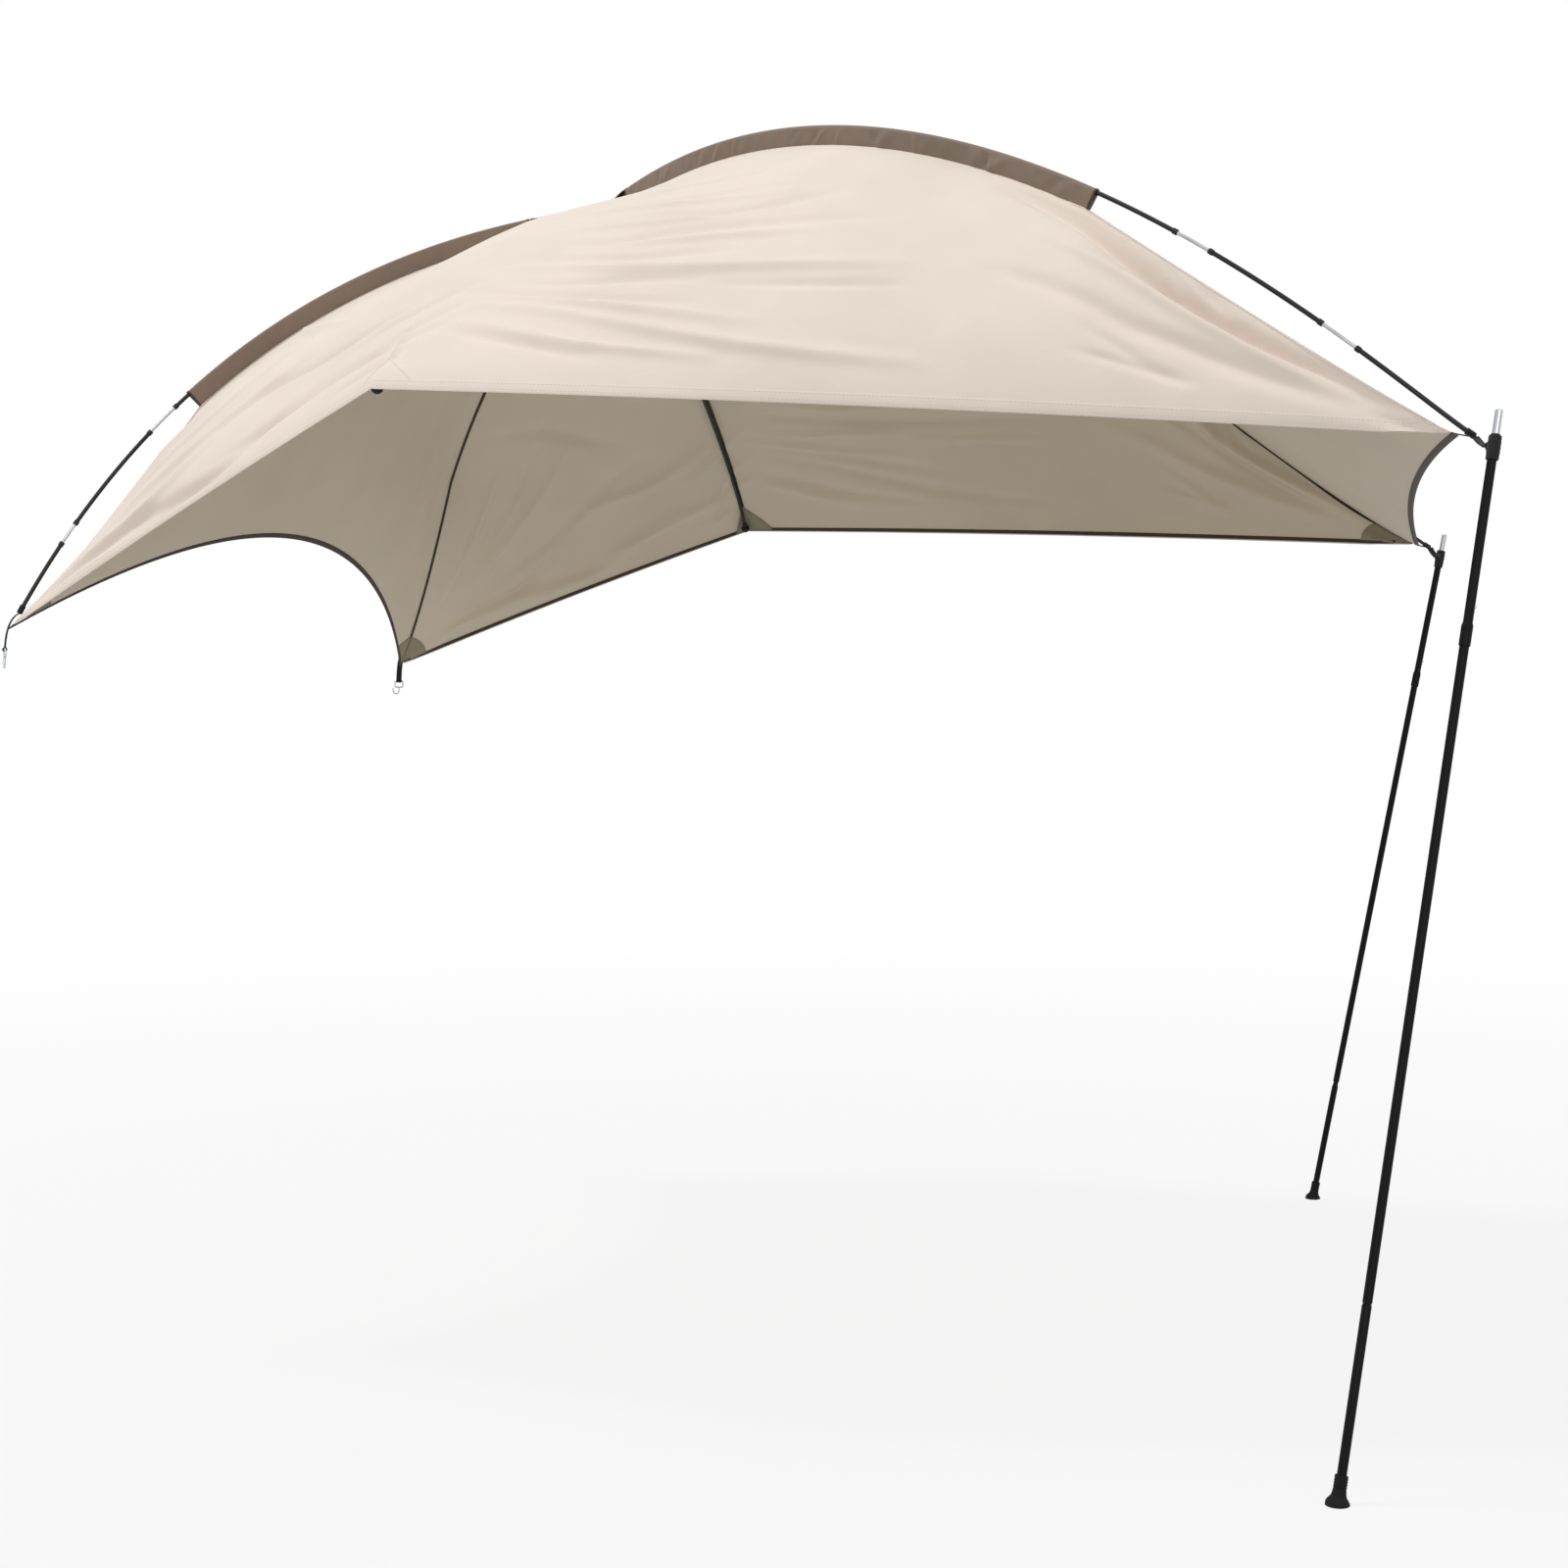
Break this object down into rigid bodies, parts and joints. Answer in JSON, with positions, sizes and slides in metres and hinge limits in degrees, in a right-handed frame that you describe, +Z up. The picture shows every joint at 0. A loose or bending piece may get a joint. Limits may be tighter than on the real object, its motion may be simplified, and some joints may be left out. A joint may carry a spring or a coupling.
{
  "type": "tailgate tent",
  "caption": "Dome awning for the back of a vehicle: sleeved cloth canopy over crossing sprung arches and a hoop, rear corners on hooks, front corners on sectional uprights.",
  "frame": {"origin": "on the ground, under the middle of the tent's bounding box", "axes": "+X forwards, from the hooked rear corners to the uprights; +Y to the right; +Z up"},
  "size_m": [2.9375, 2.51, 2.5515],
  "materials": {
    "canopy_cloth": "matt coated polyester",
    "sleeve_cloth": "matt polyester",
    "binding_tape": "woven tape",
    "patch_cloth": "matt heavy polyester",
    "fibreglass": "black, satin",
    "bright_steel": "bright plated",
    "elastic_cord": "braided cover",
    "black_plastic": "moulded",
    "painted_steel": "black powder coat",
    "foot_rubber": "matt",
    "webbing": "woven polypropylene"
  },
  "bodies": {
    "canopy": {"left_arch_front_tip_rod": "fibreglass", "left_arch_front_ferrule": "bright_steel", "left_arch_front_rod": "fibreglass", "left_arch_second_ferrule": "bright_steel", "left_arch_long_run": "fibreglass", "left_arch_rear_ferrule": "bright_steel", "left_arch_rear_tip_rod": "fibreglass", "left_arch_shock_cord": "elastic_cord", "right_arch_front_tip_rod": "fibreglass", "right_arch_front_ferrule": "bright_steel", "right_arch_front_rod": "fibreglass", "right_arch_second_ferrule": "bright_steel", "right_arch_long_run": "fibreglass", "right_arch_rear_ferrule": "bright_steel", "right_arch_rear_tip_rod": "fibreglass", "right_arch_shock_cord": "elastic_cord", "left_front_sleeve": "sleeve_cloth", "left_rear_sleeve": "sleeve_cloth", "right_front_sleeve": "sleeve_cloth", "right_rear_sleeve": "sleeve_cloth", "front_panel": "canopy_cloth", "rear_panel": "canopy_cloth", "left_front_side_panel": "canopy_cloth", "left_rear_side_panel": "canopy_cloth", "right_front_side_panel": "canopy_cloth", "right_rear_side_panel": "canopy_cloth", "left_hem_binding": "binding_tape", "right_hem_binding": "binding_tape", "front_edge_binding": "binding_tape", "rear_edge_binding": "binding_tape", "left_front_corner_patch": "patch_cloth", "left_middle_corner_patch": "patch_cloth", "left_rear_corner_patch": "patch_cloth", "right_front_corner_patch": "patch_cloth", "right_middle_corner_patch": "patch_cloth", "right_rear_corner_patch": "patch_cloth", "apex_cover": "canopy_cloth", "hoop_rod": "fibreglass", "left_hoop_ball": "black_plastic", "right_hoop_ball": "black_plastic", "left_front_strap": "webbing", "right_front_strap": "webbing", "left_rear_strap": "webbing", "right_rear_strap": "webbing"},
    "left_upright": {"left_pole_loop": "webbing", "left_top_section": "painted_steel", "left_spigot": "bright_steel", "left_middle_section": "painted_steel"},
    "left_lower": {"left_bottom_section": "painted_steel", "left_foot": "foot_rubber"},
    "left_button": {"left_snap_button": "bright_steel"},
    "left_hook": {"left_rear_hook": "bright_steel"},
    "right_upright": {"right_pole_loop": "webbing", "right_top_section": "painted_steel", "right_spigot": "bright_steel", "right_middle_section": "painted_steel"},
    "right_lower": {"right_bottom_section": "painted_steel", "right_foot": "foot_rubber"},
    "right_button": {"right_snap_button": "bright_steel"},
    "right_hook": {"right_rear_hook": "bright_steel"}
  },
  "joints": [
    {"name": "left_upright_swing", "type": "hinge", "parent": "canopy", "child": "left_upright", "pos_m": [1.44223, -1.0133, 1.729], "axis": [0.7954, 0.606, 0], "range_deg": [-20, 20]},
    {"name": "left_lower_slide", "type": "slide", "parent": "left_upright", "child": "left_lower", "axis": [-0.1436, -0.1137, -0.9831], "range_m": [0, 0.045]},
    {"name": "left_button_push", "type": "slide", "parent": "left_upright", "child": "left_button", "axis": [-0.9896, 0.0082, 0.1436], "range_m": [0, 0.003], "stiffness_N_per_m": 1500, "springref_m": -0.002},
    {"name": "left_hook_swing", "type": "hinge", "parent": "canopy", "child": "left_hook", "pos_m": [-1.455, -0.94363, 1.439], "axis": [0.6644, -0.7473, 0], "range_deg": [-60, 60]},
    {"name": "right_upright_swing", "type": "hinge", "parent": "canopy", "child": "right_upright", "pos_m": [1.44223, 1.0133, 1.729], "axis": [-0.7954, 0.606, 0], "range_deg": [-20, 20]},
    {"name": "right_lower_slide", "type": "slide", "parent": "right_upright", "child": "right_lower", "axis": [-0.1836, 0.1058, -0.9773], "range_m": [-0.0105, 0.034]},
    {"name": "right_button_push", "type": "slide", "parent": "right_upright", "child": "right_button", "axis": [-0.983, -0.0098, 0.1836], "range_m": [0, 0.003], "stiffness_N_per_m": 1500, "springref_m": -0.002},
    {"name": "right_hook_swing", "type": "hinge", "parent": "canopy", "child": "right_hook", "pos_m": [-1.455, 0.94363, 1.439], "axis": [-0.6644, -0.7473, 0], "range_deg": [-60, 60]}
  ]
}
